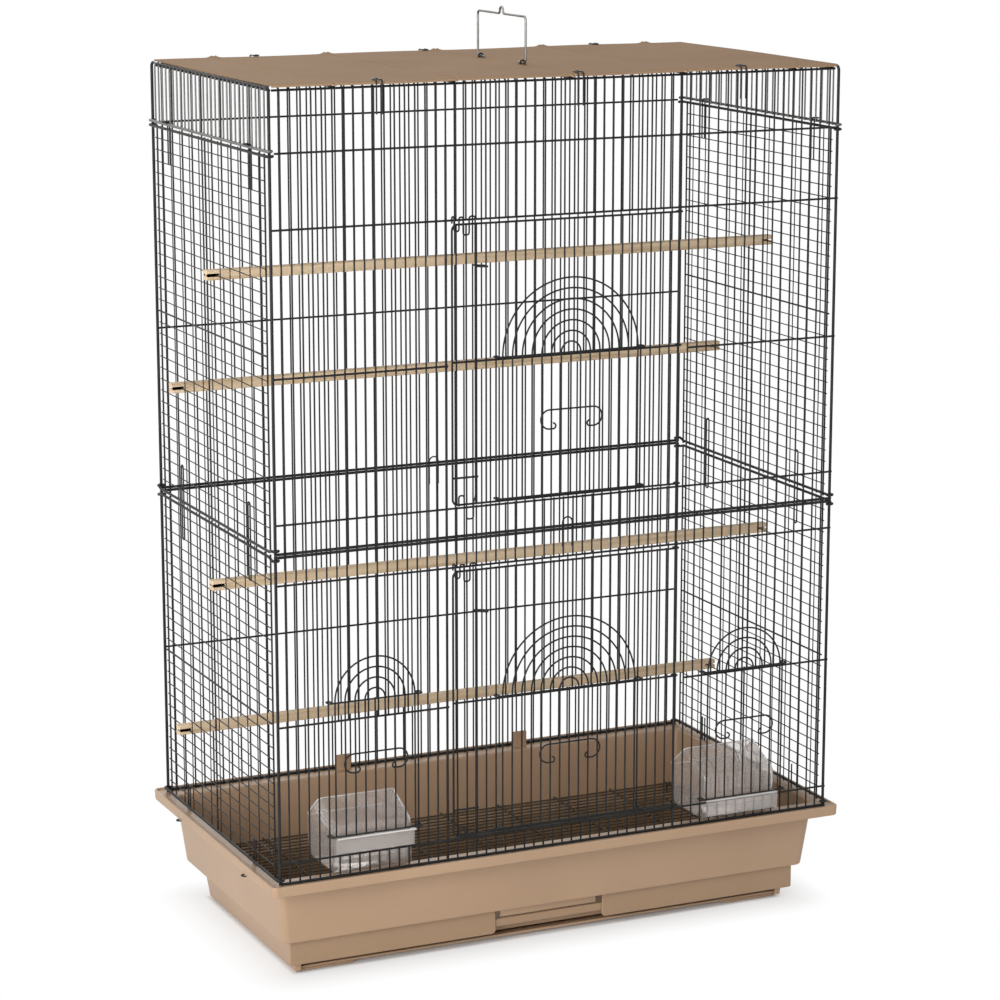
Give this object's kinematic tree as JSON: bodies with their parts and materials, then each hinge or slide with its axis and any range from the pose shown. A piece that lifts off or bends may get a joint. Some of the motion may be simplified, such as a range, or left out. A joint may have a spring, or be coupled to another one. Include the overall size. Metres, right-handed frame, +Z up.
{
  "type": "bird cage",
  "caption": "Tall wire flight cage on a moulded base, with hinged front doors, sliding arched hatches, feeder doors, hooded cups, perches, a litter drawer and a carry bail.",
  "frame": {"origin": "middle of the footprint, on the floor under the base", "axes": "X along the width, the front faces -Y, Z up"},
  "size_m": [0.6716, 0.376, 0.9858],
  "materials": {
    "wire": "glossy black coating on steel wire",
    "clip": "black coated spring wire",
    "bail": "plain bright steel wire",
    "base": "tan moulded plastic with a fine grain",
    "roof": "tan sheet, slightly creased over the roof wires",
    "perch": "plain pale wood",
    "cup": "clear moulded plastic"
  },
  "bodies": {
    "cage": {"base_tray": "base", "bottom_grille": "wire", "front_lower_panel": "wire", "front_upper_panel": "wire", "back_lower_panel": "wire", "back_upper_panel": "wire", "left_lower_side": "wire", "left_upper_side": "wire", "right_lower_side": "wire", "right_upper_side": "wire", "left_hood_flap": "wire", "right_hood_flap": "wire", "roof_wires": "wire", "roof_sheet": "roof", "roof_clips": "clip", "hood_clips": "clip", "seam_clips": "clip", "base_clips": "clip", "seam_hairpins": "clip", "left_cup": "cup", "right_cup": "cup", "upper_front_perch": "perch", "upper_back_perch": "perch", "lower_front_perch": "perch", "lower_back_perch": "perch", "handle_staples": "clip"},
    "upper_door": {"upper_door_frame": "wire", "upper_door_bars": "wire"},
    "upper_latch": {"upper_door_latch": "wire"},
    "upper_hatch": {"upper_hatch_hoops": "wire", "upper_hatch_rails": "wire", "upper_hatch_pull": "wire"},
    "lower_door": {"lower_door_frame": "wire", "lower_door_bars": "wire"},
    "lower_latch": {"lower_door_latch": "wire"},
    "lower_hatch": {"lower_hatch_hoops": "wire", "lower_hatch_rails": "wire", "lower_hatch_pull": "wire"},
    "left_feeder_door": {"left_feeder_hoops": "wire", "left_feeder_rails": "wire", "left_feeder_pull": "wire"},
    "right_feeder_door": {"right_feeder_hoops": "wire", "right_feeder_rails": "wire", "right_feeder_pull": "wire"},
    "litter_drawer": {"drawer": "base"},
    "bail": {"carry_handle": "bail"}
  },
  "joints": [
    {"name": "upper_door_swing", "type": "hinge", "parent": "cage", "child": "upper_door", "pos_m": [0.13241, -0.1746, 0.634], "axis": [0, 0, 1], "range_deg": [0, 150]},
    {"name": "lower_door_swing", "type": "hinge", "parent": "cage", "child": "lower_door", "pos_m": [0.13241, -0.1746, 0.284], "axis": [0, 0, 1], "range_deg": [0, 150]},
    {"name": "upper_latch_lift", "type": "slide", "parent": "upper_door", "child": "upper_latch", "axis": [0, 0, 1], "range_m": [0, 0.01]},
    {"name": "lower_latch_lift", "type": "slide", "parent": "lower_door", "child": "lower_latch", "axis": [0, 0, 1], "range_m": [0, 0.01]},
    {"name": "upper_hatch_lift", "type": "slide", "parent": "upper_door", "child": "upper_hatch", "axis": [0, 0, 1], "range_m": [0, 0.125]},
    {"name": "lower_hatch_lift", "type": "slide", "parent": "lower_door", "child": "lower_hatch", "axis": [0, 0, 1], "range_m": [0, 0.088]},
    {"name": "left_feeder_lift", "type": "slide", "parent": "cage", "child": "left_feeder_door", "axis": [0, 0, 1], "range_m": [0, 0.105]},
    {"name": "right_feeder_lift", "type": "slide", "parent": "cage", "child": "right_feeder_door", "axis": [0, 0, 1], "range_m": [0, 0.125]},
    {"name": "drawer_pull", "type": "slide", "parent": "cage", "child": "litter_drawer", "axis": [0, -1, 0], "range_m": [0, 0.24]},
    {"name": "bail_fold", "type": "hinge", "parent": "cage", "child": "bail", "pos_m": [0.01, 0, 0.9296], "axis": [0, 1, 0], "range_deg": [-85, 85]}
  ]
}
